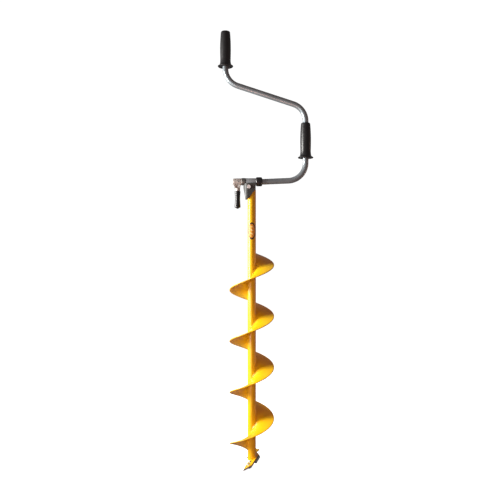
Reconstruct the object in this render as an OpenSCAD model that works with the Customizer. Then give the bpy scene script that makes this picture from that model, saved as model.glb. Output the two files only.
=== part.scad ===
// Two-handed folding ice auger: a tube with a right-hand flight and two screwed knives, and a
// bent crank that folds over the shaft in a cross sleeve and is locked by a clamp lever.
// Z runs up the shaft, X towards the middle grip, and the origin is on the shaft's axis at the
// height of the cutting edges. Sizes are in millimetres.

/* [Shaft and flight] */
// Outside diameter of the shaft tube
shaft_d = 24; // [23:0.5:25]
// Wall of the shaft tube
shaft_wall = 1.5; // [1.2:0.1:2]
// Height of the shaft tube's lower end
shaft_low = 13; // [12:0.5:14]
// Height of the shaft tube's upper end
shaft_top = 797; // [794:1:799]
// Diameter of the hole that the auger cuts
flight_d = 130; // [125:1:133]
// Rise of the flight in one turn
flight_pitch = 148.3; // [142:0.1:152]
// Sheet thickness of the flight
flight_sheet = 2.8; // [2:0.1:3]
// Angle at which the regular flight starts, seen from above
flight_from = 100; // [98:1:104]
// Angle at which the flight ends
flight_to = 1530; // [1480:10:1530]
// Length of the flatter run below the regular flight, in degrees
flight_tail = 32; // [28:1:34]
// Rise of the flatter run, per degree
flight_tail_rise = 0.17; // [0.15:0.01:0.19]

/* [Knives] */
// Direction in which the rear knife points
knife_angle = 77; // [74:1:80]
// Angle of a knife to the ice
knife_tilt = 30; // [28:1:32]
// Width of a knife, from back edge to cutting edge
knife_w = 32; // [30:1:32]
// Thickness of a knife
knife_t = 3; // [2.5:0.1:3]
// Distance of a knife's inner end from the axis
knife_in = 2; // [1.5:0.5:4]
// Thickness of the pads that carry the knives
pad_t = 3; // [2.5:0.1:3]
// How far a cutting edge stands out in front of its pad
knife_reach = 8; // [6:0.5:9]
// Length of the front pad, from front to back
front_pad_l = 27; // [24:1:30]
// Thread diameter of the knife screws
knife_screw_d = 6; // [5:0.5:6]

/* [Head] */
// Height of the axis that the crank folds about
fold_z = 820.4; // [819:0.1:822]
// Outside diameter of the cross sleeve
sleeve_d = 20.6; // [20:0.1:21]
// Half width of the bracket, across its outside
bracket_half_w = 14.5; // [14.5:0.1:15]
// Thickness of the bracket's sheet
bracket_t = 2.4; // [2:0.1:2.4]
// Thread diameter of the bolt through the bracket
head_bolt_d = 6; // [5:0.5:6]

/* [Crank] */
// Outside diameter of the crank tube
crank_d = 16.6; // [16:0.1:17]
// Wall of the crank tube
crank_wall = 1.6; // [1.4:0.1:1.8]
// Radius of the crank's bends, on the centre line
bend_r = 52; // [48:1:54]
// Distance of the middle grip from the shaft
middle_x = 156.5; // [150:0.5:160]
// Distance of the top grip on the other side of the shaft
top_x = 76.5; // [72:0.5:80]
// Angle at which the lower arm rises
arm_rise = 2.4; // [0:0.1:4]
// Straight length of the upright that carries the middle grip
upright_l = 121.4; // [118:0.1:124]
// Angle at which the upper arm rises
diagonal_rise = 18.2; // [16:0.1:20]
// Length of each hand grip
grip_l = 102.5; // [100:0.5:104]
// Diameter of the grips' flanges
flange_d = 45; // [40:1:46]

/* [Clamp lever] */
// Distance of the lever's arm from the shaft
lever_x = 41.3; // [41:0.1:42]
// Distance of the lever's lower end from the fold axis
lever_reach = 78.5; // [74:0.5:80]

/* [Label] */
// Height of the middle of the label
label_z = 677; // [670:1:690]
// Height of the label
label_h = 49.5; // [44:0.5:52]

/* [Hidden] */
$fn = 48;
// Radial gap of a shaft that turns in its bore
run = 0.05;
shaft_r = shaft_d / 2;
shaft_bore_r = shaft_r - shaft_wall;
flight_r = flight_d / 2;

// The regular flight climbs from here, and the tail leads down to its lower end
regular_z = 26.9;
flight_steps_per_turn = 48;
flight_step = 360 / flight_steps_per_turn;
// Radii of the flight's section. It starts just outside the tube.
flight_radii = [shaft_r + 0.06, 26, flight_r];

// The knives' top face passes through this height above the axis' radial line
knife_top_z = knife_w / 2 * sin(knife_tilt) + knife_t * cos(knife_tilt);
knife_out = flight_r - 1.5;
knife_bevel = 5;
screw_stations = [26, 46];
screw_w = -3;
screw_head_r = 4.9;
screw_head_h = 2.2;
nut_across_r = 5.6;
nut_h = 4.6;

head_bolt_x = -8.7;
head_bolt_z = 804.4;
block_top = 812;
bracket_top = 815;
bracket_web_x = -24.2;
sleeve_from = -17.4;
sleeve_to = 11.9;
bush_flange = 1.2;
// The spindle turns in the sleeve's two bushes, which fill the sleeve's bore
spindle_r = crank_d / 2 - crank_wall;
bush_r = spindle_r + 1.6;

collar_r = 13.3;
collar_from = 12.2;
collar_to = 30.2;
crank_start = 21;
collar_run = 13.9;
bend_lap = 1.2;
bend_thin = 0.12;
thread_r = 5;
thrust_from = -30.2;
thrust_to = -17.7;
thrust_r = 10.75;

hub_from = -57;
hub_to = -30.5;
neck_drop = 27.3;

top_grip_z = 1154;
middle_grip_z = 888.6;
grip_bore_r = crank_d / 2 + run;
ring_r = 9.8;
ring_h = 1.6;
web_z = top_grip_z + 84;
web_h = 4;
pocket_r = 9.9;
cap_h = 4;
spigot_r = 4.8;

// The crank's runs from the collar to its top end: the length of each straight stretch, and the
// angle of the bend after it, counted towards the shaft's far side
arm_x = middle_x - bend_r - crank_start - collar_run;
arm_l = arm_x / cos(arm_rise);
diagonal_l = (middle_x + top_x - 2 * bend_r * (1 - sin(diagonal_rise))) / cos(diagonal_rise);
diagonal_low_z = fold_z + bend_r + arm_l * sin(arm_rise) + upright_l;
diagonal_top_z = diagonal_low_z + 2 * bend_r * cos(diagonal_rise) + diagonal_l * sin(diagonal_rise);
crank_runs = [
    [collar_run, arm_rise],
    [arm_l, 90 - arm_rise],
    [upright_l, 90 - diagonal_rise],
    [diagonal_l, diagonal_rise - 90],
    [web_z - 0.5 - diagonal_top_z, 0]
];

// ---- helpers ----

// A turned solid along X: a list of [x, radius] from left to right, closed on the axis
module turned_x(profile) {
    last = len(profile) - 1;
    outline = concat([[0, profile[0][0]]], [for (p = profile) [p[1], p[0]]], [[0, profile[last][0]]]);
    rotate([0, 90, 0]) rotate_extrude() polygon(outline);
}

module rod_x(from, to, r) {
    translate([from, 0, 0]) rotate([0, 90, 0]) cylinder(r = r, h = to - from);
}

module rod_y(from, to, r, sides = 48) {
    translate([0, to, 0]) rotate([90, 0, 0]) cylinder(r = r, h = to - from, $fn = sides);
}

module ring_z(from, to, outer, inner) {
    difference() {
        translate([0, 0, from]) cylinder(r = outer, h = to - from);
        translate([0, 0, from - 1]) cylinder(r = inner, h = to - from + 2);
    }
}

// ---- flight ----

// Height of the flight's middle at an angle, with the flatter tail at its lower end
function flight_z(a) = a < flight_from
    ? regular_z - (flight_from - a) * flight_tail_rise
    : regular_z + (a - flight_from) * flight_pitch / 360;

// Half of the sheet's height, measured straight up, which grows where the flight is steep
function half_height(r) = flight_sheet / 2 * sqrt(1 + pow(flight_pitch / (2 * PI * r), 2));

// The section at an angle: the top from the tube outwards, then the bottom back again
function flight_section(a) = let (n = len(flight_radii)) concat(
    [for (i = [0 : n - 1]) flight_point(a, flight_radii[i], 1)],
    [for (i = [n - 1 : -1 : 0]) flight_point(a, flight_radii[i], -1)]);

function flight_point(a, r, side) =
    [r * cos(a), r * sin(a), flight_z(a) + side * half_height(r)];

module main_flight() {
    start = flight_from - flight_tail;
    steps = ceil((flight_to - start) / flight_step);
    angles = [for (i = [0 : steps]) start + (flight_to - start) * i / steps];
    m = 2 * len(flight_radii);
    points = [for (a = angles) each flight_section(a)];
    sides = [for (i = [0 : steps - 1], j = [0 : m - 1])
        let (p = i * m + j, q = i * m + (j + 1) % m)
        each [[p, q, q + m], [p, q + m, p + m]]];
    first = [for (j = [0 : m - 1]) m - 1 - j];
    last = [for (j = [0 : m - 1]) steps * m + j];
    color("gold") polyhedron(points = points, faces = concat([first], sides, [last]), convexity = 20);
}

// ---- shaft ----

module shaft_tube() {
    color("gold") ring_z(shaft_low, shaft_top, shaft_r, shaft_bore_r);
}

// Closes the tube's lower end against water
module shaft_plug() {
    color("gold") translate([0, 0, shaft_low]) cylinder(r = shaft_bore_r, h = 5);
}

module shaft_label() {
    half_w = 0.92 * shaft_r;
    oval = [for (a = [0 : 10 : 350]) [half_w * cos(a), label_h / 2 * sin(a)]];
    color("orange") intersection() {
        ring_z(label_z - label_h, label_z + label_h, shaft_r + 0.3, shaft_r);
        translate([0, 0, label_z]) rotate([90, 0, 0]) linear_extrude(2 * shaft_r) polygon(oval);
    }
}

// ---- knives ----

// Puts its children in a knife's own frame: X runs outwards, Y from the back edge to the
// cutting edge, and Z stands on the knife's top face
module on_knife(side) {
    rotate([0, 0, knife_angle + 180 * side]) translate([0, 0, knife_top_z])
        rotate([knife_tilt, 0, 0]) mirror([0, 1, 0]) children();
}

module knife(side) {
    front = knife_w / 2;
    outline = [
        [knife_in, -front], [knife_out - 4, -front], [knife_out, -front + 4],
        [knife_out, front - 2], [knife_out - 3, front], [knife_in + 5, front],
        [knife_in, front - 5]
    ];
    color("dimgray") difference() {
        intersection() {
            on_knife(side) translate([0, 0, -knife_t]) linear_extrude(knife_t) polygon(outline);
            cylinder(r = flight_r, h = 3 * knife_w);
        }
        // Ground bevel on the upper side of the cutting edge
        on_knife(side) translate([0, front - knife_bevel, 0]) rotate([-atan(knife_t / knife_bevel), 0, 0])
            translate([-1, 0, 0]) cube([flight_r + 2, 2 * knife_bevel, 2 * knife_bevel]);
        // Room for the end of the shaft tube
        translate([0, 0, shaft_low - 0.3]) cylinder(r = shaft_r + 0.3, h = knife_w);
        on_knife(side) for (x = screw_stations) translate([x, screw_w, -2 * knife_t])
            cylinder(r = knife_screw_d / 2, h = 3 * knife_t);
    }
}

// A plate on a knife's top face, ending on the tube and on a circle just inside the flight's rim
module knife_pad(side, length) {
    front = knife_w / 2 - knife_reach;
    color("gold") difference() {
        intersection() {
            on_knife(side) translate([4, front - length, 0]) cube([flight_r, length, pad_t]);
            cylinder(r = flight_r - 2.5, h = 3 * knife_w);
        }
        translate([0, 0, -1]) cylinder(r = shaft_r, h = 3 * knife_w);
        on_knife(side) for (x = screw_stations) translate([x, screw_w, -knife_t])
            cylinder(r = knife_screw_d / 2, h = 3 * pad_t);
    }
}

module front_knife() {
    knife(1);
}

module rear_knife() {
    knife(0);
}

module front_knife_pad() {
    knife_pad(1, front_pad_l);
}

module rear_knife_pad() {
    knife_pad(0, knife_w - knife_reach);
}

// Low round heads on the pads, with the shanks through pad, knife and nut
module knife_screws() {
    shank = pad_t + knife_t + nut_h + 0.6;
    color("lightgray") for (side = [0, 1], x = screw_stations)
        on_knife(side) translate([x, screw_w, pad_t]) {
            cylinder(r1 = screw_head_r, r2 = screw_head_r - 1.6, h = screw_head_h);
            translate([0, 0, -shank]) cylinder(r = knife_screw_d / 2, h = shank);
        }
}

module knife_nuts() {
    color("lightgray") for (side = [0, 1], x = screw_stations)
        on_knife(side) translate([x, screw_w, -knife_t - nut_h]) difference() {
            cylinder(r = nut_across_r, h = nut_h, $fn = 6);
            translate([0, 0, -1]) cylinder(r = knife_screw_d / 2, h = nut_h + 2);
        }
}

// ---- head ----

// Fills the bracket under the sleeve and plugs the top of the shaft tube
module head_block() {
    inner = bracket_half_w - bracket_t;
    color("slategray") difference() {
        union() {
            translate([bracket_web_x + bracket_half_w + 1, -inner, shaft_top])
                cube([shaft_r + 8, 2 * inner, block_top - shaft_top]);
            translate([0, 0, shaft_top - 28]) cylinder(r = shaft_bore_r, h = 28.5);
        }
        translate([0, 0, fold_z]) rod_x(-40, 40, sleeve_d / 2);
        translate([head_bolt_x, 0, head_bolt_z]) rod_y(-20, 20, head_bolt_d / 2);
    }
}

// Side view of the bracket: square at the sleeve, slanting down to a narrow toe on the left
bracket_side = [
    [bracket_web_x, bracket_top], [bracket_web_x, 801], [bracket_web_x + 3.4, 783],
    [bracket_web_x + 5.4, 769.8], [-11.5, 769.8], [-9.5, 772], [10.8, 797.5], [10.2, bracket_top]
];

// Half of a round-backed channel, seen from above
module channel(half_w, back) {
    translate([back + half_w, 0]) circle(r = half_w);
    translate([back + half_w, -half_w]) square([40, 2 * half_w]);
}

module head_bracket() {
    inner = bracket_half_w - bracket_t;
    color("slategray") difference() {
        intersection() {
            translate([0, 0, 760]) linear_extrude(70) difference() {
                channel(bracket_half_w, bracket_web_x);
                channel(inner, bracket_web_x + bracket_t);
            }
            rotate([90, 0, 0]) translate([0, 0, -30]) linear_extrude(60) polygon(bracket_side);
        }
        translate([0, 0, fold_z]) {
            rod_x(-40, 40, sleeve_d / 2);
            // The thrust bush turns over the left wall
            rod_x(-40, thrust_to + 0.5, thrust_r + 0.8);
        }
        translate([head_bolt_x, 0, head_bolt_z]) rod_y(-20, 20, head_bolt_d / 2);
    }
}

washer_t = 1.2;
bolt_face = bracket_half_w + washer_t;

module head_bolt() {
    color("gainsboro") translate([head_bolt_x, 0, head_bolt_z]) {
        rod_y(-bolt_face - 4.2, -bolt_face, 5.8, 6);
        rod_y(-bolt_face, bolt_face + 7, head_bolt_d / 2);
    }
}

module head_washers() {
    color("gainsboro") translate([head_bolt_x, 0, head_bolt_z]) for (side = [-1, 1])
        difference() {
            rod_y(side > 0 ? bracket_half_w : -bolt_face, side > 0 ? bolt_face : -bracket_half_w, 6.2);
            rod_y(-30, 30, head_bolt_d / 2);
        }
}

module head_nut() {
    color("gainsboro") translate([head_bolt_x, 0, head_bolt_z]) difference() {
        rod_y(bolt_face, bolt_face + 5.2, 5.8, 6);
        rod_y(-30, 30, head_bolt_d / 2);
    }
}

module cross_sleeve() {
    color("slategray") translate([0, 0, fold_z]) difference() {
        rod_x(sleeve_from + bush_flange, sleeve_to, sleeve_d / 2);
        rod_x(sleeve_from - 1, sleeve_to + 1, bush_r);
    }
}

// Nylon bush in the sleeve's left end, with a flange that the thrust bush bears on
module left_bush() {
    color("black") translate([0, 0, fold_z]) difference() {
        union() {
            rod_x(sleeve_from, sleeve_from + bush_flange, sleeve_d / 2);
            rod_x(sleeve_from + bush_flange, sleeve_from + 12, bush_r);
        }
        rod_x(sleeve_from - 1, sleeve_to, spindle_r + run);
    }
}

module right_bush() {
    color("black") translate([0, 0, fold_z]) difference() {
        rod_x(sleeve_to - 12, sleeve_to, bush_r);
        rod_x(sleeve_from, sleeve_to + 1, spindle_r + run);
    }
}

// ---- crank ----

// The tube's ring, with its wall thinned by the same amount inside and outside
module tube_section(thin = 0) {
    difference() {
        circle(r = crank_d / 2 - thin);
        circle(r = crank_d / 2 - crank_wall + thin);
    }
}

function along(angle) = [cos(angle), sin(angle)];
function across(angle) = [-sin(angle), cos(angle)];

// Heading of a run, in the XZ plane, and the point where it starts
function heading(i) = i == 0 ? 0 : heading(i - 1) + crank_runs[i - 1][1];
function run_start(i) = i == 0 ? [crank_start, fold_z]
    : run_end(i - 1) + bend_side(i - 1) * bend_r * (across(heading(i - 1)) - across(heading(i)));
function run_end(i) = run_start(i) + crank_runs[i][0] * along(heading(i));
function bend_side(i) = sign(crank_runs[i][1]);

// How far a straight run laps over the bend after it, at most a quarter of the bend
function lap_after(i) = i == len(crank_runs) - 1 ? 0
    : min(bend_lap, bend_r * abs(crank_runs[i][1]) * PI / 180 / 4);

// A straight run of tube, which reaches a little way into the bends at its ends
module straight(i) {
    before = i > 0 ? lap_after(i - 1) : 0;
    after = lap_after(i);
    p = run_start(i) - before * along(heading(i));
    translate([p[0], 0, p[1]]) rotate([0, 90 - heading(i), 0])
        linear_extrude(crank_runs[i][0] + before + after) tube_section();
}

// The bend at the end of a run, thinned so that the straight runs close over its ends
module bend(i) {
    turn = crank_runs[i][1];
    centre = run_end(i) + bend_side(i) * bend_r * across(heading(i));
    translate([centre[0], 0, centre[1]]) rotate([90, 0, 0])
        rotate([0, 0, turn > 0 ? heading(i) - 90 : heading(i + 1) + 90])
        rotate_extrude(angle = abs(turn), $fn = 96) translate([bend_r, 0]) tube_section(bend_thin);
}

module crank_tube() {
    runs = len(crank_runs);
    color("dimgray") {
        for (i = [0 : runs - 1]) straight(i);
        for (i = [0 : runs - 2]) bend(i);
    }
}

// Pressed into the crank tube, turning in the sleeve's bushes, and threaded for the lever
module spindle() {
    color("silver") translate([0, 0, fold_z]) difference() {
        union() {
            turned_x([[-54, thread_r - 1], [-53, thread_r], [thrust_to, thread_r]]);
            turned_x([[thrust_to, spindle_r - 0.8], [thrust_to + 0.8, spindle_r], [34, spindle_r]]);
        }
        translate([collar_from + 5, 0, 0]) rod_y(-4, 20, 2);
    }
}

module stop_collar() {
    color("black") translate([0, 0, fold_z]) difference() {
        turned_x([
            [collar_from, collar_r - 2], [collar_from + 2, collar_r],
            [collar_to - 2.5, collar_r], [collar_to, collar_r - 2.5]
        ]);
        rod_x(collar_from - 1, crank_start, spindle_r);
        rod_x(crank_start, collar_to + 1, crank_d / 2);
        translate([collar_from + 5, 0, 0]) rod_y(0, 20, 2);
    }
}

// Locks the collar to the spindle, from behind
module collar_pin() {
    color("silver") translate([collar_from + 5, 0, fold_z]) rod_y(-4, collar_r - 0.4, 2);
}

module thrust_bush() {
    color("rosybrown") translate([0, 0, fold_z]) difference() {
        turned_x([
            [thrust_from, thrust_r - 0.8], [thrust_from + 0.8, thrust_r],
            [thrust_to - 0.6, thrust_r], [thrust_to, thrust_r - 0.6]
        ]);
        rod_x(thrust_from - 1, thrust_to + 1, thread_r);
    }
}

// Rings crimped on the tube inside the middle grip's two ends
module middle_grip_rings() {
    color("silver") translate([middle_x, 0, 0])
        for (z = [middle_grip_z + 1, middle_grip_z + grip_l - 1 - ring_h])
            ring_z(z, z + ring_h, ring_r, crank_d / 2);
}

module top_plug() {
    color("silver") translate([-top_x, 0, 0]) difference() {
        union() {
            translate([0, 0, web_z - 22]) cylinder(r = spindle_r, h = 21.5);
            translate([0, 0, web_z - 0.5]) cylinder(r = spigot_r, h = web_h + 0.9);
        }
        translate([0, 0, web_z - 15]) cylinder(r = 3, h = 30);
    }
}

module top_washer() {
    color("silver") translate([-top_x, 0, 0])
        ring_z(web_z + web_h + 0.4, web_z + web_h + 1.9, 9, 3);
}

module top_screw() {
    color("silver") translate([-top_x, 0, 0]) {
        translate([0, 0, web_z - 14]) cylinder(r = 3, h = web_h + 15.9);
        translate([0, 0, web_z + web_h + 1.9]) cylinder(r = 5.5, h = 4, $fn = 6);
    }
}

// ---- grips ----

// Outside of a hand grip from the flange at its foot to the rounded top
grip_profile = [
    [10.6, 0], [flange_d / 2 - 2.4, 0], [flange_d / 2 - 0.7, 0.7], [flange_d / 2, 2.1],
    [flange_d / 2 - 0.7, 3.5], [flange_d / 2 - 2.4, 4.2], [18.3, 5.4], [16.7, 7.6], [15.8, 11],
    [15.2, 16.5], [15.1, 22], [15.45, 38], [15.6, 54], [15.3, 70], [14.6, 84], [13.8, 96],
    [13.4, grip_l - 2.2], [12.4, grip_l - 0.6], [10.6, grip_l]
];

module grip_outside() {
    rotate_extrude(convexity = 4) polygon(concat([[0, 0]], grip_profile, [[0, grip_l]]));
}

module middle_grip_body() {
    counterbore = ring_h + 1.5;
    color("darkslategray") translate([middle_x, 0, middle_grip_z]) difference() {
        grip_outside();
        translate([0, 0, -1]) cylinder(r = grip_bore_r, h = grip_l + 2);
        for (z = [-1, grip_l - counterbore])
            translate([0, 0, z]) cylinder(r = ring_r + 0.3, h = counterbore + 1);
    }
}

module top_grip_body() {
    color("darkslategray") translate([-top_x, 0, top_grip_z]) difference() {
        grip_outside();
        translate([0, 0, -1]) cylinder(r = grip_bore_r, h = web_z - top_grip_z + 1);
        translate([0, 0, web_z - top_grip_z - 1]) cylinder(r = spigot_r + 0.3, h = web_h + 2);
        translate([0, 0, web_z - top_grip_z + web_h]) cylinder(r = pocket_r, h = grip_l);
    }
}

module top_grip_cap() {
    color("black") translate([-top_x, 0, top_grip_z + grip_l - cap_h]) cylinder(r = pocket_r, h = cap_h);
}

// ---- clamp lever ----

// Cast hub with an arm that two ribs join to its ends, and a tang inside the grip
module lever_casting() {
    color("gainsboro") translate([0, 0, fold_z]) difference() {
        union() {
            turned_x([
                [hub_from, 6.2], [hub_from + 1.6, 8.6], [hub_from + 4, 9.4],
                [-44, 9.8], [hub_to - 1, 9.8], [hub_to, 9]
            ]);
            hull() {
                translate([hub_from + 8, -3.2, -10]) cube([17.5, 6.4, 6]);
                translate([-lever_x, 0, -21]) cylinder(r = 6.4, h = 1, $fn = 32);
            }
            translate([-lever_x, 0, -neck_drop]) cylinder(r = 7.2, h = 8);
            translate([-lever_x, 0, -neck_drop - 40]) cylinder(r = 4.5, h = 41);
        }
        rod_x(hub_from + 3, hub_to + 1, insert_r);
        translate([-38, 0, 0.4]) rod_y(-20, 0, 1.8);
    }
}

insert_r = 7;

// Steel nut cast into the hub, which turns on the spindle's thread
module lever_insert() {
    color("silver") translate([0, 0, fold_z]) difference() {
        rod_x(hub_from + 3, hub_to, insert_r);
        rod_x(hub_from, hub_to + 1, thread_r + run);
        translate([-38, 0, 0.4]) rod_y(-20, -insert_r + 1, 1.8);
    }
}

// Short pin that keeps the insert from turning in the hub
module lever_pin() {
    color("dimgray") translate([-38, 0, fold_z + 0.4]) rod_y(-9.4, -insert_r + 1, 1.8);
}

module lever_grip() {
    length = lever_reach - neck_drop;
    profile = [
        [0, 0], [2.2, 0], [3.4, 1.6], [8, 3.4], [8.6, 5.2], [8.5, 9], [7.5, 22], [7.3, 28],
        [7.6, 36], [8.3, 46], [8.4, length - 1.2], [7.6, length], [0, length]
    ];
    color("black") translate([-lever_x, 0, fold_z - lever_reach]) difference() {
        rotate_extrude() polygon(profile);
        translate([0, 0, length - 40]) cylinder(r = 4.5, h = 41);
    }
}

shaft_tube();
main_flight();
shaft_plug();
front_knife_pad();
rear_knife_pad();
front_knife();
rear_knife();
knife_screws();
knife_nuts();
shaft_label();
head_block();
head_bracket();
head_bolt();
head_washers();
head_nut();
cross_sleeve();
left_bush();
right_bush();
crank_tube();
spindle();
stop_collar();
collar_pin();
thrust_bush();
middle_grip_rings();
top_plug();
top_washer();
top_screw();
top_grip_body();
top_grip_cap();
middle_grip_body();
lever_casting();
lever_insert();
lever_pin();
lever_grip();
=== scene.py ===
"""Visual model of a two-handed ice auger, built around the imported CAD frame."""

import math
import random

import bmesh
import bpy
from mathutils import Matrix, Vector


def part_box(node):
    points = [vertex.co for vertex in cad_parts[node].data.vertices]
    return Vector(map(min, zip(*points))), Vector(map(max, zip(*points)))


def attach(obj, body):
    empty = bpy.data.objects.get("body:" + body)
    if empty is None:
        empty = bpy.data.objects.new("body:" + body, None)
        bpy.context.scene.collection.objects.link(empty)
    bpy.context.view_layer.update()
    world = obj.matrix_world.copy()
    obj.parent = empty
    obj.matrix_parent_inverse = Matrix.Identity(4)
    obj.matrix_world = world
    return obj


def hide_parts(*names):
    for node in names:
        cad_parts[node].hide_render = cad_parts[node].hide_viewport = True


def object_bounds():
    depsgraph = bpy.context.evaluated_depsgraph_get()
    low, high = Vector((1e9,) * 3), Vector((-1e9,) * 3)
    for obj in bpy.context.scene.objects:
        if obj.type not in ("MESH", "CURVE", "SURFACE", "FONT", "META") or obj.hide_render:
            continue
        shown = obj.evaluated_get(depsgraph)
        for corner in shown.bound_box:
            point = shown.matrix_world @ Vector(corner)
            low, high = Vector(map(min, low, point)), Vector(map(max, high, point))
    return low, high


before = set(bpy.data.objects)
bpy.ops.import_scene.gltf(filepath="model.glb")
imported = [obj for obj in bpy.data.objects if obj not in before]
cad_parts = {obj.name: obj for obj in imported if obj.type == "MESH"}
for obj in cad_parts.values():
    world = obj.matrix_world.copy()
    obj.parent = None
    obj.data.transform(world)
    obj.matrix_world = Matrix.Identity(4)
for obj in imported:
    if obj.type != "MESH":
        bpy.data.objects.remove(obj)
cad_low, cad_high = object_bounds()

MM = 0.001
SEED = 11
UP = Vector((0, 0, 1))
ACROSS = Vector((0, 1, 0))


# ---- measures taken from the frame ----

def middle(node):
    """Centre of a CAD node's box."""
    low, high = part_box(node)
    return (low + high) / 2


def span(node):
    """Size of a CAD node's box."""
    low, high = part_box(node)
    return high - low


FOLD_Z = middle("cross_sleeve").z
SHAFT_R = span("shaft_tube").x / 2
FLIGHT_R = span("main_flight").y / 2
CRANK_R = 8.3 * MM
CRANK_WALL = 1.6 * MM
EASED = 0.5 * MM
MIDDLE_X = middle("middle_grip_body").x
TOP_X = middle("top_grip_body").x
LEVER_X = middle("lever_grip").x


# ---- node helpers ----

class Surface:
    """A principled material with short ways to add nodes to it."""

    def __init__(self, name):
        self.material = bpy.data.materials.new(name)
        self.material.use_nodes = True
        self.tree = self.material.node_tree
        self.shader = self.tree.nodes["Principled BSDF"]
        self.where = self.add("ShaderNodeTexCoord").outputs["Object"]

    def add(self, kind, **settings):
        node = self.tree.nodes.new(kind)
        for key, value in settings.items():
            setattr(node, key, value)
        return node

    def join(self, source, target):
        if hasattr(source, "default_value") or hasattr(source, "is_linked"):
            self.tree.links.new(source, target)
        else:
            target.default_value = source

    def stretched(self, scale):
        node = self.add("ShaderNodeMapping")
        self.join(self.where, node.inputs["Vector"])
        node.inputs["Scale"].default_value = scale
        return node.outputs["Vector"]

    def noise(self, scale, detail=3.0, rough=0.55, stretch=None):
        node = self.add("ShaderNodeTexNoise")
        self.join(self.stretched(stretch) if stretch else self.where, node.inputs["Vector"])
        node.inputs["Scale"].default_value = scale
        node.inputs["Detail"].default_value = detail
        node.inputs["Roughness"].default_value = rough
        return node.outputs["Fac"]

    def cells(self, scale):
        node = self.add("ShaderNodeTexVoronoi")
        self.join(self.where, node.inputs["Vector"])
        node.inputs["Scale"].default_value = scale
        return node.outputs["Distance"]

    def math(self, operation, a, b=0.0, clamp=False):
        node = self.add("ShaderNodeMath", operation=operation, use_clamp=clamp)
        self.join(a, node.inputs[0])
        self.join(b, node.inputs[1])
        return node.outputs[0]

    def span(self, value, low, high, to_low=0.0, to_high=1.0):
        node = self.add("ShaderNodeMapRange")
        self.join(value, node.inputs["Value"])
        for key, number in (("From Min", low), ("From Max", high),
                            ("To Min", to_low), ("To Max", to_high)):
            node.inputs[key].default_value = number
        return node.outputs["Result"]

    def mix(self, share, a, b):
        node = self.add("ShaderNodeMix", data_type="RGBA")
        self.join(share, node.inputs["Factor"])
        for value, socket in ((a, node.inputs[6]), (b, node.inputs[7])):
            if isinstance(value, tuple):
                socket.default_value = (*value, 1.0)
            else:
                self.join(value, socket)
        return node.outputs[2]

    def edges(self, radius, low=0.02, high=0.16):
        """1 on outer and inner corners, 0 on plain faces."""
        soft = self.add("ShaderNodeBevel", samples=4)
        soft.inputs["Radius"].default_value = radius
        geometry = self.add("ShaderNodeNewGeometry")
        dot = self.add("ShaderNodeVectorMath", operation="DOT_PRODUCT")
        self.join(soft.outputs["Normal"], dot.inputs[0])
        self.join(geometry.outputs["Normal"], dot.inputs[1])
        return self.span(self.math("SUBTRACT", 1.0, dot.outputs["Value"]), low, high)

    def part(self, output):
        """The X, Y or Z of the object's own coordinates."""
        node = self.add("ShaderNodeSeparateXYZ")
        self.join(self.where, node.inputs[0])
        return node.outputs[output]

    def bump(self, height, strength, distance):
        node = self.add("ShaderNodeBump")
        node.inputs["Strength"].default_value = strength
        node.inputs["Distance"].default_value = distance
        self.join(height, node.inputs["Height"])
        self.join(node.outputs["Normal"], self.shader.inputs["Normal"])

    def colour(self, value):
        self.join(value, self.shader.inputs["Base Color"])

    def roughness(self, value):
        self.join(value, self.shader.inputs["Roughness"])

    def metal(self, value):
        self.join(value, self.shader.inputs["Metallic"])

    def fix(self, **values):
        for key, number in values.items():
            self.shader.inputs[key.replace("_", " ")].default_value = number


# ---- materials ----

def yellow_coat():
    """Gloss yellow powder coat with orange peel, ice scuffs and steel showing at worn edges."""
    s = Surface("yellow_powder_coat")
    cloud = s.span(s.noise(14, 4), 0.35, 0.65)
    paint = s.mix(cloud, (0.84, 0.49, 0.004), (0.90, 0.56, 0.007))
    scuff = s.span(s.noise(160, 6, 0.7, (1, 1, 0.25)), 0.6, 0.72, 0.0, 0.5)
    paint = s.mix(scuff, paint, (0.66, 0.34, 0.02))
    chips = s.span(s.noise(420, 4, 0.6), 0.50, 0.58)
    low_down = s.span(s.part("Z"), 0.02, 0.30, 1.0, 0.35)
    worn = s.math("MULTIPLY", s.math("MULTIPLY", s.edges(0.9 * MM), chips), low_down, True)
    s.colour(s.mix(worn, paint, (0.20, 0.15, 0.10)))
    s.metal(s.math("MULTIPLY", worn, 0.7))
    s.roughness(s.span(s.noise(60, 5), 0.3, 0.7, 0.26, 0.42))
    s.bump(s.noise(520, 2), 0.10, 0.15 * MM)
    s.fix(Coat_Weight=0.2, Coat_Roughness=0.22)
    return s.material


def painted_metal(name, light, dark, rough, metallic=0.0):
    """Satin paint over steel, rubbed through to the metal along its edges."""
    s = Surface(name)
    paint = s.mix(s.span(s.noise(22, 4), 0.35, 0.65), dark, light)
    rub = s.span(s.noise(230, 5, 0.65), 0.48, 0.6)
    worn = s.math("MULTIPLY", s.edges(0.7 * MM), rub, True)
    s.colour(s.mix(worn, paint, (0.42, 0.41, 0.40)))
    s.metal(s.span(worn, 0.0, 1.0, metallic, 0.9))
    s.roughness(s.span(s.noise(90, 5), 0.3, 0.7, rough - 0.07, rough + 0.09))
    s.bump(s.noise(800, 2), 0.06, 0.08 * MM)
    return s.material


def turned_metal(name, light, dark, rough, grain=(1, 1, 1), metallic=1.0):
    """Bare or plated metal with fine tool marks and a little tarnish."""
    s = Surface(name)
    marks = s.noise(700, 4, 0.6, grain)
    tarnish = s.span(s.noise(75, 5, 0.6), 0.42, 0.7)
    s.colour(s.mix(tarnish, light, dark))
    s.fix(Metallic=metallic)
    s.roughness(s.math("ADD", s.span(marks, 0.3, 0.7, rough - 0.06, rough + 0.06),
                       s.math("MULTIPLY", tarnish, 0.1)))
    s.bump(marks, 0.10, 0.08 * MM)
    return s.material


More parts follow.
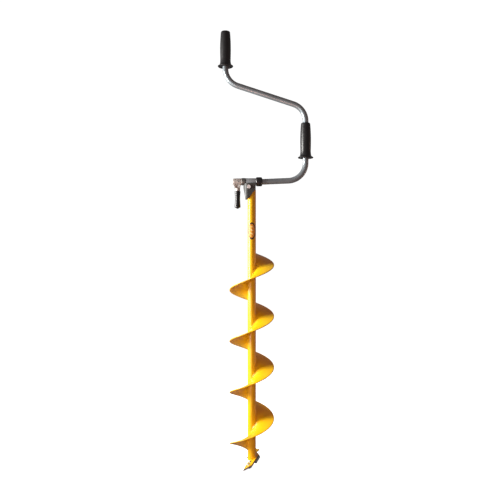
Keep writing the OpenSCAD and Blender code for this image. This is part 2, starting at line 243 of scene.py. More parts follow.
def cast_alloy():
    """Grained light alloy from a mould, bright where hands polish it."""
    s = Surface("cast_alloy")
    grain = s.noise(900, 6, 0.7)
    blotch = s.span(s.noise(120, 5, 0.6), 0.38, 0.66)
    skin = s.mix(blotch, (0.60, 0.59, 0.57), (0.46, 0.45, 0.435))
    pores = s.span(s.cells(700), 0.0, 0.16, 1.0, 0.0)
    dark = s.math("MULTIPLY", pores, s.span(s.noise(90, 3), 0.5, 0.62), True)
    skin = s.mix(dark, skin, (0.24, 0.23, 0.22))
    s.colour(s.mix(s.edges(1.1 * MM, 0.04, 0.2), skin, (0.74, 0.73, 0.71)))
    s.fix(Metallic=0.25)
    s.roughness(s.span(grain, 0.3, 0.7, 0.34, 0.52))
    s.bump(grain, 0.35, 0.18 * MM)
    return s.material


def black_plastic(name, light, dark, rough):
    """Moulded black plastic with a fine spark-eroded grain and paler rubbed edges."""
    s = Surface(name)
    body = s.mix(s.span(s.noise(30, 4), 0.35, 0.65), dark, light)
    rubbed = s.math("MULTIPLY", s.edges(0.8 * MM), s.span(s.noise(260, 5), 0.42, 0.6), True)
    s.colour(s.mix(rubbed, body, (0.075, 0.075, 0.078)))
    s.roughness(s.span(s.noise(110, 5), 0.3, 0.7, rough - 0.05, rough + 0.07))
    s.bump(s.noise(1500, 1), 0.03, 0.03 * MM)
    return s.material


def knife_steel(name, turn):
    """Dark tempered steel whose ground bevel is bright, with grinding lines across it."""
    s = Surface(name)
    scale = s.span(s.noise(140, 6, 0.65), 0.4, 0.66)
    dark = s.mix(scale, (0.055, 0.05, 0.045), (0.13, 0.115, 0.10))
    lines = s.noise(500, 4, 0.6, (0.12, 1.0, 1.0))
    bright = s.mix(s.span(lines, 0.35, 0.65), (0.62, 0.61, 0.60), (0.42, 0.41, 0.40))
    facing = s.add("ShaderNodeVectorMath", operation="DOT_PRODUCT")
    s.join(s.add("ShaderNodeTexCoord").outputs["Normal"], facing.inputs[0])
    facing.inputs[1].default_value = turn
    ground = s.span(facing.outputs["Value"], 0.93, 0.97)
    chip = s.math("MULTIPLY", s.edges(0.5 * MM), s.span(s.noise(300, 4), 0.45, 0.6), True)
    shine = s.math("MAXIMUM", ground, chip)
    s.colour(s.mix(shine, dark, bright))
    s.metal(s.span(shine, 0.0, 1.0, 0.6, 1.0))
    s.roughness(s.span(shine, 0.0, 1.0, 0.46, 0.24))
    s.bump(lines, 0.12, 0.1 * MM)
    return s.material


def label_film():
    """Printed oval film: a dark border, an orange field and a plain band of drill spirals."""
    s = Surface("label_film")
    low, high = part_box("shaft_label")
    half_w, half_h = (high.x - low.x) / 2, (high.z - low.z) / 2
    across = s.math("DIVIDE", s.part("X"), half_w)
    up = s.math("DIVIDE", s.math("SUBTRACT", s.part("Z"), (low.z + high.z) / 2), half_h)
    out = s.math("SQRT", s.math("ADD", s.math("MULTIPLY", across, across),
                                s.math("MULTIPLY", up, up)))
    border = s.span(out, 0.80, 0.84)
    field = s.mix(s.span(s.noise(180, 4), 0.35, 0.65), (0.80, 0.33, 0.03), (0.90, 0.46, 0.08))
    wave = s.math("SINE", s.math("ADD", s.math("MULTIPLY", up, 15.0),
                                 s.math("MULTIPLY", across, 2.4)))
    inside = s.span(s.math("ABSOLUTE", across), 0.34, 0.42, 1.0, 0.0)
    short = s.span(s.math("ABSOLUTE", up), 0.50, 0.56, 1.0, 0.0)
    motif = s.math("MULTIPLY", s.span(wave, 0.25, 0.45), s.math("MULTIPLY", inside, short))
    field = s.mix(motif, field, (0.98, 0.72, 0.30))
    scratches = s.span(s.noise(700, 5, 0.7, (1, 1, 0.2)), 0.62, 0.7, 0.0, 0.35)
    print_on = s.mix(border, field, (0.030, 0.018, 0.010))
    s.colour(s.mix(scratches, print_on, (0.55, 0.42, 0.22)))
    s.roughness(s.span(s.noise(240, 4), 0.3, 0.7, 0.30, 0.46))
    s.bump(s.noise(500, 3), 0.06, 0.1 * MM)
    return s.material


def floor_finish():
    """Matt white studio floor with the faintest mottling."""
    s = Surface("studio_floor")
    s.colour(s.mix(s.noise(2.5, 4), (0.90, 0.90, 0.90), (0.94, 0.94, 0.935)))
    s.roughness(s.span(s.noise(8, 3), 0.3, 0.7, 0.75, 0.9))
    s.shader.inputs["Emission Color"].default_value = (1.0, 1.0, 1.0, 1.0)
    s.fix(Emission_Strength=1.0)
    return s.material


def all_finishes():
    """Every finish but the knives', by slot name."""
    return {
        "yellow_coat": yellow_coat(),
        "grey_paint": painted_metal("grey_paint", (0.36, 0.42, 0.455), (0.29, 0.34, 0.37), 0.36,
                                    metallic=0.25),
        "crank_paint": painted_metal("crank_paint", (0.325, 0.375, 0.405), (0.265, 0.31, 0.335),
                                     0.31, metallic=0.5),
        "dark_paint": painted_metal("dark_paint", (0.070, 0.075, 0.072), (0.050, 0.054, 0.053), 0.42),
        "zinc_steel": turned_metal("zinc_steel", (0.42, 0.42, 0.42), (0.30, 0.30, 0.31), 0.40),
        # Chrome bolt: near-white base colour with low metallic. This is a painted reflection: the
        # white diffuse face stands in for the bright glints of real chrome.
        "chrome": turned_metal("chrome_painted_reflection", (0.97, 0.97, 0.98), (0.88, 0.88, 0.90), 0.20,
                               metallic=0.2),
        "bare_steel": turned_metal("bare_steel", (0.62, 0.61, 0.60), (0.40, 0.39, 0.37), 0.34),
        "thrust_steel": turned_metal("thrust_steel", (0.26, 0.24, 0.22), (0.19, 0.175, 0.16), 0.50,
                                     (6, 1, 1)),
        "cast_alloy": cast_alloy(),
        "bush_nylon": black_plastic("bush_nylon", (0.030, 0.030, 0.032), (0.02, 0.02, 0.022), 0.5),
        "black_plastic": black_plastic("black_plastic", (0.016, 0.016, 0.017),
                                       (0.010, 0.010, 0.011), 0.30),
        "grip_plastic": black_plastic("grip_plastic", (0.019, 0.019, 0.020),
                                      (0.012, 0.012, 0.013), 0.36),
        "label_film": label_film(),
    }


# ---- mesh helpers ----

def as_object(name, mesh_builder, material, body, replaced=()):
    """Turns a bmesh into a shaded piece that rides on a body."""
    mesh = bpy.data.meshes.new(name)
    bmesh.ops.recalc_face_normals(mesh_builder, faces=mesh_builder.faces)
    mesh_builder.to_mesh(mesh)
    mesh_builder.free()
    piece = bpy.data.objects.new(name, mesh)
    bpy.context.scene.collection.objects.link(piece)
    shade(piece)
    mesh.materials.append(material)
    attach(piece, body)
    if replaced:
        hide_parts(*replaced)
    return piece


def shade(piece, angle=0.6):
    """Smooth shading that stays crisp across corners sharper than the angle."""
    piece.data.shade_smooth()
    piece.data.set_sharp_from_angle(angle=angle)


def softened(points, radius):
    """Rounds the corners of a closed outline by a small radius."""
    steps = 4
    count = len(points)
    result = []
    for i, here in enumerate(points):
        before, after = points[i - 1], points[(i + 1) % count]
        here_v = Vector(here)
        back, ahead = Vector(before) - here_v, Vector(after) - here_v
        reach = min(radius, 0.45 * back.length, 0.45 * ahead.length)
        start = here_v + back.normalized() * reach
        end = here_v + ahead.normalized() * reach
        for k in range(steps + 1):
            t = k / steps
            point = start * (1 - t) ** 2 + here_v * 2 * t * (1 - t) + end * t * t
            result.append((point.x, point.y))
    return result


def smooth_line(points, per_step):
    """A Catmull-Rom line through the points."""
    result = []
    last = len(points) - 1
    for i in range(last):
        p0, p1 = Vector(points[max(i - 1, 0)]), Vector(points[i])
        p2, p3 = Vector(points[i + 1]), Vector(points[min(i + 2, last)])
        for k in range(per_step):
            t = k / per_step
            point = 0.5 * (2 * p1 + (p2 - p0) * t + (2 * p0 - 5 * p1 + 4 * p2 - p3) * t * t
                           + (3 * p1 - 3 * p2 + p3 - p0) * t ** 3)
            result.append(tuple(point))
    result.append(tuple(points[last]))
    return result


def turn(builder, profile, place, sides, closed=True, seam=0.0):
    """Turns a profile of (radius, height) about an axis. place(r, h, angle) gives the point."""
    rings = []
    for r, h in profile:
        if r < 1e-7:
            rings.append([builder.verts.new(place(0.0, h, 0.0))])
            continue
        ring = []
        for k in range(sides):
            raised = seam if k in (0, sides // 2) else 0.0
            ring.append(builder.verts.new(place(r + raised, h, 2 * math.pi * k / sides)))
        rings.append(ring)
    pairs = list(zip(rings, rings[1:]))
    if closed:
        pairs.append((rings[-1], rings[0]))
    for a, b in pairs:
        for k in range(sides):
            corners = [a[k % len(a)], a[(k + 1) % len(a)], b[(k + 1) % len(b)], b[k % len(b)]]
            unique = list(dict.fromkeys(corners))
            if len(unique) > 2:
                builder.faces.new(unique)


def upright(x, z):
    """Places a turned profile on a vertical axis."""
    return lambda r, h, a: (x + r * math.cos(a), r * math.sin(a), z + h)


def level(x, z):
    """Places a turned profile on an axis along X."""
    return lambda r, h, a: (x + h, r * math.sin(a), z + r * math.cos(a))


def tube_along(builder, points, radius, sides, side_hint):
    """A solid rod of varying radius along a line of points."""
    rings = []
    for i, point in enumerate(points):
        ahead = points[min(i + 1, len(points) - 1)] - points[max(i - 1, 0)]
        ahead.normalize()
        u = ahead.cross(side_hint).normalized()
        v = ahead.cross(u).normalized()
        r = radius(i / (len(points) - 1))
        rings.append([builder.verts.new(point + u * r * math.cos(a) + v * r * math.sin(a))
                      for a in (2 * math.pi * k / sides for k in range(sides))])
    for a, b in zip(rings, rings[1:]):
        for k in range(sides):
            n = (k + 1) % sides
            builder.faces.new([a[k], a[n], b[n], b[k]])
    builder.faces.new(list(reversed(rings[0])))
    builder.faces.new(rings[-1])


# ---- flight ----

PITCH = 148.3 * MM
REGULAR_FROM = 100.0
TAIL_FROM = 68.0
FLIGHT_TO = 1530.0
TAIL_RISE = 0.17 * MM
SHEET = 2.8 * MM
REGULAR_Z = 26.9 * MM


def flight_height(angle):
    """Height of the flight's middle at an angle in degrees."""
    if angle < REGULAR_FROM:
        return REGULAR_Z - (REGULAR_FROM - angle) * TAIL_RISE
    return REGULAR_Z + (angle - REGULAR_FROM) * PITCH / 360


def half_sheet(r):
    """Half of the sheet's height, measured straight up."""
    return SHEET / 2 * math.sqrt(1 + (PITCH / (2 * math.pi * r)) ** 2)


def flight_outline():
    """(radius, share of the half height) round the flight's section, from the tube outwards."""
    rim = FLIGHT_R
    edge = 1.2 * MM
    inner = [SHAFT_R - 0.3 * MM, 0.016, 0.021, 0.027, 0.035, 0.044, 0.053, rim - 2.5 * MM]
    top = [(r, 1.0) for r in inner]
    turn_over = [(rim - edge * (1 - math.sin(a)), math.cos(a))
                 for a in (math.pi * k / 8 for k in range(9))]
    return top + turn_over + [(r, -1.0) for r in reversed(inner)]


def smooth_flight(finish):
    """The whole helical flight, finely stepped, with a rounded rim and eased ends."""
    builder = bmesh.new()
    outline = flight_outline()
    step = 3.0
    ease = [(0.0, 0.25), (0.5, 0.72), (1.3, 0.95)]
    count = int((FLIGHT_TO - TAIL_FROM) / step)
    stations = [(TAIL_FROM + a, s) for a, s in ease]
    stations += [(TAIL_FROM + step * i, 1.0) for i in range(1, count)]
    stations += [(FLIGHT_TO - a, s) for a, s in reversed(ease)]
    rings = []
    for angle, share in stations:
        a = math.radians(angle)
        z = flight_height(angle)
        rings.append([builder.verts.new((r * math.cos(a), r * math.sin(a),
                                         z + side * share * half_sheet(r)))
                      for r, side in outline])
    size = len(outline)
    for a, b in zip(rings, rings[1:]):
        for k in range(size):
            n = (k + 1) % size
            builder.faces.new([a[k], a[n], b[n], b[k]])
    for ring in (rings[0], rings[-1]):
        half = size // 2
        for k in range(half):
            corners = [ring[k], ring[k + 1], ring[size - 2 - k], ring[size - 1 - k]]
            unique = list(dict.fromkeys(corners))
            if len(unique) > 2:
                builder.faces.new(unique)
    return as_object("smooth_flight", builder, finish["yellow_coat"], "auger",
                     ["main_flight"])


def flight_welds(finish):
    """Lumpy fillet welds where the flight meets the tube, above and below the sheet."""
    chance = random.Random(SEED)
    builder = bmesh.new()
    for side in (1, -1):
        points = []
        radii = []
        angle = TAIL_FROM + 8
        while angle < FLIGHT_TO - 3:
            a = math.radians(angle)
            r = SHAFT_R + 0.35 * MM
            z = flight_height(angle) + side * (half_sheet(SHAFT_R) + 0.2 * MM)
            points.append(Vector((r * math.cos(a), r * math.sin(a), z)))
            radii.append(1.55 * MM + chance.uniform(-0.22, 0.22) * MM)
            angle += 5
        radii[0] = radii[-1] = 0.5 * MM
        tube_along(builder, points, lambda t: radii[round(t * (len(radii) - 1))], 8, UP)
    return as_object("flight_welds", builder, finish["yellow_coat"], "auger")


# ---- shaft and head ----

def shaft(finish):
    """Drawn tube with eased ends."""
    low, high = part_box("shaft_tube")
    bore = span("shaft_plug").x / 2
    outline = [(SHAFT_R, low.z), (SHAFT_R, high.z), (bore, high.z), (bore, low.z)]
    stations = softened(outline, EASED)
    builder = bmesh.new()
    turn(builder, stations, upright(0, 0), 96)
    return as_object("shaft_tube_coated", builder, finish["yellow_coat"], "auger",
                     ["shaft_tube"])


def sleeve(finish):
    """Thick-walled cross tube that carries the fold spindle."""
    low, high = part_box("cross_sleeve")
    r, bore = (high.z - low.z) / 2, span("right_bush").z / 2
    outline = [(r, low.x), (r, high.x), (bore, high.x), (bore, low.x)]
    builder = bmesh.new()
    turn(builder, softened(outline, EASED), level(0, FOLD_Z), 80)
    return as_object("cross_sleeve_painted", builder, finish["grey_paint"], "auger",
                     ["cross_sleeve"])


def head_welds(finish):
    """Weld runs along both sides of the sleeve where it sits in the block."""
    chance = random.Random(SEED + 1)
    low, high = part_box("cross_sleeve")
    block_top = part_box("head_block")[1].z
    r = (high.z - low.z) / 2
    y = math.sqrt(max(r * r - (FOLD_Z - block_top) ** 2, 0)) + 0.5 * MM
    builder = bmesh.new()
    for side in (1, -1):
        count = 30
        x0, x1 = low.x + 6.5 * MM, high.x - 2.5 * MM
        points = [Vector((x0 + (x1 - x0) * k / count, side * y, block_top + 0.3 * MM))
                  for k in range(count + 1)]
        radii = [1.5 * MM + chance.uniform(-0.25, 0.25) * MM for _ in points]
        tube_along(builder, points, lambda t: radii[round(t * count)], 10, ACROSS)
    return as_object("head_welds", builder, finish["grey_paint"], "auger")


# ---- crank ----

def crank_path():
    """Points along the crank tube's centre line and its headings, in the XZ plane."""
    bend_r = 52 * MM
    rise, slope = math.radians(2.4), math.radians(18.2)
    start_x, run_in = 21 * MM, 13.9 * MM
    upright_l = 121.4 * MM
    arm = (MIDDLE_X - bend_r - start_x - run_in) / math.cos(rise)
    diagonal = (MIDDLE_X - TOP_X - 2 * bend_r * (1 - math.sin(slope))) / math.cos(slope)
    end_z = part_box("crank_tube")[1].z
    runs = [(run_in, rise), (arm, math.pi / 2 - rise), (upright_l, math.pi / 2 - slope),
            (diagonal, slope - math.pi / 2)]
    x, z, heading = start_x, FOLD_Z, 0.0
    points = [(x, z, heading)]
    for length, bend in runs:
        for k in range(1, 9):
            points.append((x + length * math.cos(heading) * k / 8,
                           z + length * math.sin(heading) * k / 8, heading))
        x, z, _ = points[-1]
        side = 1 if bend > 0 else -1
        cx, cz = x - side * bend_r * math.sin(heading), z + side * bend_r * math.cos(heading)
        steps = max(4, int(abs(bend) / math.radians(3.5)))
        for k in range(1, steps + 1):
            h = heading + bend * k / steps
            points.append((cx + side * bend_r * math.sin(h), cz - side * bend_r * math.cos(h), h))
        heading += bend
        x, z, _ = points[-1]
    points.append((x, end_z, heading))
    return points


def crank(finish):
    """The bent crank tube as one smooth sweep, open at both ends."""
    builder = bmesh.new()
    sides = 48
    outer, inner = CRANK_R, CRANK_R - CRANK_WALL
    path = crank_path()
    rings = []
    for r, order in ((outer, path), (inner, path[::-1])):
        for x, z, heading in order:
            across = Vector((-math.sin(heading), 0, math.cos(heading)))
            rings.append([builder.verts.new(Vector((x, 0, z)) + across * r * math.cos(a)
                                            + Vector((0, r * math.sin(a), 0)))
                          for a in (2 * math.pi * k / sides for k in range(sides))])
    for a, b in zip(rings, rings[1:] + rings[:1]):
        for k in range(sides):
            n = (k + 1) % sides
            builder.faces.new([a[k], a[n], b[n], b[k]])
    return as_object("crank_tube_painted", builder, finish["crank_paint"], "crank",
                     ["crank_tube"])


# ---- grips ----

GRIP_BORE = 8.35
RING_SEAT = 3.1


def grip_profile(length, foot_r):
    """Outside of a hand grip from its opening at the foot, round the flange, to its top."""
    flange = 22.5
    side = smooth_line([(15.2, 16.5), (15.1, 22), (15.45, 38), (15.6, 54),
                        (15.3, 70), (14.6, 84), (13.8, 96), (13.4, length - 2.6)], 4)
    foot = [(foot_r + 0.4, 0.6), (11.0, 0.5), (12.4, 0.9), (13.4, 1.9), (16.0, 2.1), (18.6, 1.4),
            (20.4, 0.45), (flange - 0.9, 0.75), (flange, 2.0), (flange - 0.6, 3.1),
            (20.6, 3.9), (18.3, 5.2), (16.7, 7.4), (15.8, 11.0)]
    crown = [(13.2, length - 1.5), (12.6, length - 0.6), (11.6, length - 0.1)]
    return smooth_line(foot, 3) + side + crown


def middle_inside(length):
    """Inside of the middle grip from the top down, with a seat for a ring at each end."""
    seat_r = span("middle_grip_rings").x / 2 / MM + 0.3
    return [(seat_r + 0.3, length), (seat_r, length - 0.3), (seat_r, length - RING_SEAT),
            (GRIP_BORE, length - RING_SEAT), (GRIP_BORE, RING_SEAT), (seat_r, RING_SEAT),
            (seat_r, 1.0)]


def top_inside(length):
    """Inside of the top grip from the top down: the cap's pocket, then the bore."""
    pocket_r, pocket_l = 9.9, 14.5
    return [(pocket_r + 0.3, length), (pocket_r, length - 0.3), (pocket_r, length - pocket_l),
            (GRIP_BORE, length - pocket_l), (GRIP_BORE, 1.0)]


def hand_grip(name, node, finish, body, inside):
    """Moulded grip with a dished flange, a swelling body and a parting seam."""
    low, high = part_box(node)
    x = (low.x + high.x) / 2
    length = (high.z - low.z) / MM
    inner = inside(length)
    outline = [(r * MM, h * MM) for r, h in grip_profile(length, inner[-1][0]) + inner]
    builder = bmesh.new()
    turn(builder, outline, upright(x, low.z), 96, seam=0.07 * MM)
    return as_object(name, builder, finish["grip_plastic"], body, [node])


def grip_cap(finish):
    """Pressed-in cap with a raised rim and a dished middle."""
    low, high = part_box("top_grip_cap")
    r, h = (high.x - low.x) / 2, high.z - low.z
    outline = [(0, 0), (r - 0.4 * MM, 0), (r, 0.4 * MM), (r, h - 0.5 * MM), (r - 0.5 * MM, h),
               (r - 1.9 * MM, h), (r - 2.4 * MM, h - 0.7 * MM), (r - 4 * MM, h - 0.9 * MM),
               (2.5 * MM, h - 0.9 * MM), (1.6 * MM, h - 0.5 * MM), (0, h - 0.4 * MM)]
    builder = bmesh.new()
    turn(builder, outline, upright((low.x + high.x) / 2, low.z), 64, closed=False)
    return as_object("top_grip_cap_moulded", builder, finish["grip_plastic"], "top_grip",
                     ["top_grip_cap"])


# ---- clamp lever ----

def prism(builder, outline, low_y, high_y):
    """A plate with an outline in the XZ plane."""
    front = [builder.verts.new((x, low_y, z)) for x, z in outline]
    back = [builder.verts.new((x, high_y, z)) for x, z in outline]
    builder.faces.new(front)
    builder.faces.new(back[::-1])
    for k in range(len(outline)):
        n = (k + 1) % len(outline)
        builder.faces.new([front[k], back[k], back[n], front[n]])


def cutter(radius, start, end):
    """A rod used only to cut a bore, between two points."""
    builder = bmesh.new()
    tube_along(builder, [start, (start + end) / 2, end], lambda t: radius, 40, UP)
    bmesh.ops.recalc_face_normals(builder, faces=builder.faces)
    mesh = bpy.data.meshes.new("cutter")
    builder.to_mesh(mesh)
    builder.free()
    obj = bpy.data.objects.new("cutter", mesh)
    bpy.context.scene.collection.objects.link(obj)
    return obj


def settle(piece):
    """Replaces a piece's mesh by the result of its modifiers."""
    bpy.context.view_layer.update()
    graph = bpy.context.evaluated_depsgraph_get()
    mesh = bpy.data.meshes.new_from_object(piece.evaluated_get(graph))
    piece.modifiers.clear()
    piece.data = mesh


def lever_casting(finish):
    """Cast hub with two ribs that run down from its ends into a round neck."""
    low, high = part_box("lever_casting")
    x0, x1 = low.x / MM, high.x / MM
    cx, z = LEVER_X / MM, FOLD_Z / MM
    builder = bmesh.new()
    hub = [(0, x0), (4.6, x0), (6.8, x0 + 0.7), (8.5, x0 + 2), (9.3, x0 + 4), (9.7, x0 + 9),
           (9.7, x0 + 11), (9.5, x0 + 12), (9.7, x0 + 13), (9.9, x1 - 3), (9.9, x1 - 1),
           (9.2, x1), (0, x1)]
    turn(builder, hub, level(0, z), 64, closed=False)
    ribs = [
        ([(x0 + 1.2, -3), (x0 + 5.6, -6), (cx - 1.6, -23), (cx - 6.2, -24.5)], 3.7),
        ([(x1 - 0.6, -3), (cx + 6.2, -24.5), (cx + 1.6, -23), (x1 - 4.8, -6)], 3.7),
        ([(x0 + 3, -4), (x1 - 2, -4), (cx + 5.4, -23), (cx - 5.4, -23)], 1.5),
    ]
    for outline, half in ribs:
        prism(builder, [(x, z + dz) for x, dz in outline], -half, half)
    neck = [(0, -17.5), (4.4, -17.6), (6.0, -18.6), (7.0, -20.5), (7.3, -23), (7.4, -26.4),
            (6.9, -27.3), (4.5, -27.3), (4.5, -34), (0, -34)]
    turn(builder, neck, upright(cx, z), 48, closed=False)
    bmesh.ops.scale(builder, vec=(MM, MM, MM), verts=builder.verts)
    piece = as_object("lever_casting_ribbed", builder, finish["cast_alloy"], "clamp_lever",
                      ["lever_casting"])
    remesh = piece.modifiers.new("skin", "REMESH")
    remesh.mode, remesh.voxel_size = "VOXEL", 0.45 * MM
    soft = piece.modifiers.new("soft", "SMOOTH")
    soft.factor, soft.iterations = 0.5, 5
    settle(piece)
    insert_r, pin_r = 7.02 * MM, 1.85 * MM
    pin_x, pin_z = -38 * MM, FOLD_Z + 0.4 * MM
    bores = [
        cutter(insert_r, Vector(((x0 + 2.95) * MM, 0, FOLD_Z)), Vector(((x1 + 3) * MM, 0, FOLD_Z))),
        cutter(pin_r, Vector((pin_x, -14 * MM, pin_z)), Vector((pin_x, -5 * MM, pin_z))),
    ]
    for rod in bores:
        cut = piece.modifiers.new("bore", "BOOLEAN")
        cut.object, cut.operation, cut.solver = rod, "DIFFERENCE", "EXACT"
    settle(piece)
    for rod in bores:
        bpy.data.objects.remove(rod)
    shade(piece, 0.7)
    return piece


def lever_grip(finish):
    """Waisted moulded grip with a lip at the neck and a blunt nub at its lower end."""
    low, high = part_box("lever_grip")
    length = (high.z - low.z) / MM
    side = smooth_line([(8.55, 5.4), (8.5, 9), (8.0, 15), (7.5, 22), (7.3, 29), (7.55, 36),
                        (8.1, 44), (8.35, length - 2.2)], 4)
    foot = smooth_line([(0, 0), (1.6, 0.05), (2.7, 0.5), (3.5, 1.7), (5.2, 2.4), (7.4, 3.1),
                        (8.3, 4.1)], 4)
    lip = [(8.4, length - 1.0), (8.0, length - 0.35), (7.2, length), (4.6, length),
           (4.5, length - 0.5), (4.5, length - 20), (0, length - 20)]
    outline = [(r * MM, h * MM) for r, h in foot + side + lip]
    builder = bmesh.new()
    turn(builder, outline, upright(LEVER_X, low.z), 72, closed=False, seam=0.06 * MM)
    return as_object("lever_grip_moulded", builder, finish["black_plastic"], "clamp_lever",
                     ["lever_grip"])


# ---- knife screws ----

KNIFE_ANGLE = 77
KNIFE_TILT = 30
KNIFE_HALF_W = 16
KNIFE_THICK = 3
KNIFE_BEVEL = 5
SCREWS_AT = (26, 46)
SCREW_BACK = 3


def knife_frame(side):
    """Turns a knife's own coordinates in millimetres into the frame, for the rear or front knife."""
    turned, tilt = math.radians(KNIFE_ANGLE + 180 * side), math.radians(KNIFE_TILT)
    top_z = KNIFE_HALF_W * math.sin(tilt) + KNIFE_THICK * math.cos(tilt)

    def place(x, y, z):
        y1 = -y * math.cos(tilt) - z * math.sin(tilt)
        z1 = -y * math.sin(tilt) + z * math.cos(tilt)
        return Vector((x * math.cos(turned) - y1 * math.sin(turned),
                       x * math.sin(turned) + y1 * math.cos(turned),
                       z1 + top_z)) * MM

    return place


def socket_screw(builder, place, x, y, base):
    """A domed head with a hexagonal socket, and its shank down through the nut."""
    sides = 36
    head_r, head_h = 4.9, 2.3
    dome = [(2.9, -10.9), (3.0, -10.4), (3.0, 0), (head_r, 0), (head_r, 0.5),
            (head_r - 0.35, 1.15), (head_r - 1.1, 1.75), (head_r - 2.0, head_h), (2.5, head_h)]
    rings = []

    def ring(radius_at, height):
        points = []
        for k in range(sides):
            a = 2 * math.pi * k / sides
            r = radius_at(a)
            points.append(builder.verts.new(place(x + r * math.cos(a), y + r * math.sin(a),
                                                  base + height)))
        rings.append(points)

    def hexagon(flat):
        return lambda a: flat / math.cos((a % (math.pi / 3)) - math.pi / 6)

    for r, h in dome:
        ring(lambda a, r=r: r, h)
    ring(hexagon(1.75), head_h - 0.1)
    ring(hexagon(1.7), 0.9)
    for a, b in zip(rings, rings[1:]):
        for k in range(sides):
            n = (k + 1) % sides
            builder.faces.new([a[k], a[n], b[n], b[k]])
    builder.faces.new(rings[0][::-1])
    builder.faces.new(rings[-1])


def knife_screws(finish):
    """The four socket screws that hold the knives."""
    builder = bmesh.new()
    for side in (0, 1):
        for x in SCREWS_AT:
            socket_screw(builder, knife_frame(side), x, -SCREW_BACK, KNIFE_THICK)
    return as_object("knife_screws_socket", builder, finish["zinc_steel"], "auger",
                     ["knife_screws"])


def bevel_direction(side):
    """Outward direction of a knife's ground bevel."""
    place = knife_frame(side)
    lean = math.atan(KNIFE_THICK / KNIFE_BEVEL)
    return tuple((place(0, math.sin(lean), math.cos(lean)) - place(0, 0, 0)).normalized())


# ---- CAD nodes that stay ----

KEPT = {
    "shaft_plug": ("yellow_coat", 0.3), "front_knife_pad": ("yellow_coat", 0.5),
    "rear_knife_pad": ("yellow_coat", 0.5), "knife_nuts": ("zinc_steel", 0.3),
    "shaft_label": ("label_film", 0.0), "head_block": ("dark_paint", 0.5),
    "head_bracket": ("dark_paint", 0.5), "head_bolt": ("chrome", 0.5),
    "head_washers": ("zinc_steel", 0.2), "head_nut": ("zinc_steel", 0.4),
    "left_bush": ("bush_nylon", 0.2), "right_bush": ("bush_nylon", 0.2),
    "spindle": ("bare_steel", 0.2), "stop_collar": ("black_plastic", 0.4),
    "collar_pin": ("zinc_steel", 0.2), "thrust_bush": ("thrust_steel", 0.2),
    "middle_grip_rings": ("zinc_steel", 0.2), "top_plug": ("zinc_steel", 0.2),
    "top_washer": ("zinc_steel", 0.2), "top_screw": ("zinc_steel", 0.3),
    "lever_insert": ("bare_steel", 0.2), "lever_pin": ("bare_steel", 0.2),
}


def dress(node, material, bevel):
    """Gives a CAD node its material and eased edges."""
    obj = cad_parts[node]
    obj.data.materials.clear()
    obj.data.materials.append(material)
    if bevel:
        weld = obj.modifiers.new("weld", "WELD")
        weld.merge_threshold = 0.002 * MM
        ease = obj.modifiers.new("ease", "BEVEL")
        ease.width, ease.segments = bevel * MM, 3
        ease.limit_method, ease.angle_limit = "ANGLE", math.radians(32)
        ease.harden_normals = True


# ---- studio ----

SEEN_WORLD = (1.05, 1.05, 1.05)
GLOSSY_WORLD = (0.17, 0.17, 0.175)
DIFFUSE_WORLD = (0.185, 0.082, 0.050)


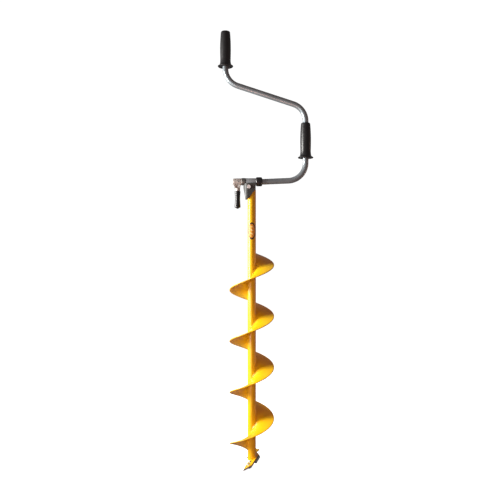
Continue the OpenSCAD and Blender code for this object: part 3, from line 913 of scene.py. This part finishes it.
def studio(finish_floor):
    """Pale floor, a strong key from the left, weak fills and dim surroundings.

    The camera sees the surroundings white. The floor lights nothing and shows in no reflection.
    """
    mesh = bpy.data.meshes.new("floor")
    builder = bmesh.new()
    half = 9.0
    level_z = cad_low.z - 0.2 * MM
    corners = [builder.verts.new((x, y, level_z)) for x, y in
               ((-half, -half), (half, -half), (half, half), (-half, half))]
    builder.faces.new(corners)
    builder.to_mesh(mesh)
    builder.free()
    floor = bpy.data.objects.new("floor", mesh)
    bpy.context.scene.collection.objects.link(floor)
    mesh.materials.append(finish_floor)
    floor.visible_diffuse = floor.visible_glossy = False

    world = bpy.data.worlds.new("studio")
    bpy.context.scene.world = world
    world.use_nodes = True
    nodes, links = world.node_tree.nodes, world.node_tree.links
    back = nodes["Background"]
    back.inputs["Strength"].default_value = 1.0
    path = nodes.new("ShaderNodeLightPath")
    tint = None
    for output, shade_of in (("Is Glossy Ray", GLOSSY_WORLD), ("Is Camera Ray", SEEN_WORLD)):
        step = nodes.new("ShaderNodeMix")
        step.data_type = "RGBA"
        step.inputs[6].default_value = (*DIFFUSE_WORLD, 1.0)
        step.inputs[7].default_value = (*shade_of, 1.0)
        if tint:
            links.new(tint, step.inputs[6])
        links.new(path.outputs[output], step.inputs["Factor"])
        tint = step.outputs[2]
    links.new(tint, back.inputs["Color"])

    lamp("key", (-1.6, -0.26, 0.85), (0, 0, 0.62), 0.7, 0.8, 68, (1.0, 0.985, 0.95))
    lamp("low_left", (-1.25, -1.35, 0.2), (0, 0, 0.75), 0.5, 0.4, 8, (1.0, 0.95, 0.93))
    lamp("warm_bounce", (-0.45, -1.0, 0.02), (0, 0, 0.30), 0.5, 0.4, 3.8, (1.0, 0.40, 0.28))
    lamp("right_edge", (1.9, 0.4, 0.4), (0, 0, 0.6), 0.3, 1.6, 7, (1.0, 0.62, 0.50))


def lamp(name, place, aim, width, height, power, tint):
    """A rectangular soft light that points at a place."""
    light = bpy.data.lights.new(name, "AREA")
    light.shape, light.size, light.size_y = "RECTANGLE", width, height
    light.energy, light.color = power, tint
    obj = bpy.data.objects.new(name, light)
    obj.location = place
    way = Vector(aim) - Vector(place)
    obj.rotation_euler = way.to_track_quat("-Z", "Y").to_euler()
    bpy.context.scene.collection.objects.link(obj)


def camera():
    """Level camera 1.7 m in front of the shaft, half-way up the object."""
    data = bpy.data.cameras.new("camera")
    data.lens, data.sensor_width = 42.24, 36.0
    data.shift_y = 0.0052
    obj = bpy.data.objects.new("camera", data)
    obj.location = (-0.0052, -1.7055, 0.6145)
    obj.rotation_euler = (math.pi / 2, 0, 0)
    bpy.context.scene.collection.objects.link(obj)
    bpy.context.scene.camera = obj


finish = all_finishes()
camera()
studio(floor_finish())
for node, (slot, bevel) in KEPT.items():
    dress(node, finish[slot], bevel)
dress("rear_knife", knife_steel("rear_knife_steel", bevel_direction(0)), 0.25)
dress("front_knife", knife_steel("front_knife_steel", bevel_direction(1)), 0.25)
smooth_flight(finish)
flight_welds(finish)
shaft(finish)
sleeve(finish)
head_welds(finish)
crank(finish)
hand_grip("middle_grip_moulded", "middle_grip_body", finish, "middle_grip", middle_inside)
hand_grip("top_grip_moulded", "top_grip_body", finish, "top_grip", top_inside)
grip_cap(finish)
lever_casting(finish)
lever_grip(finish)
knife_screws(finish)
bpy.context.scene.view_settings.view_transform = "Standard"
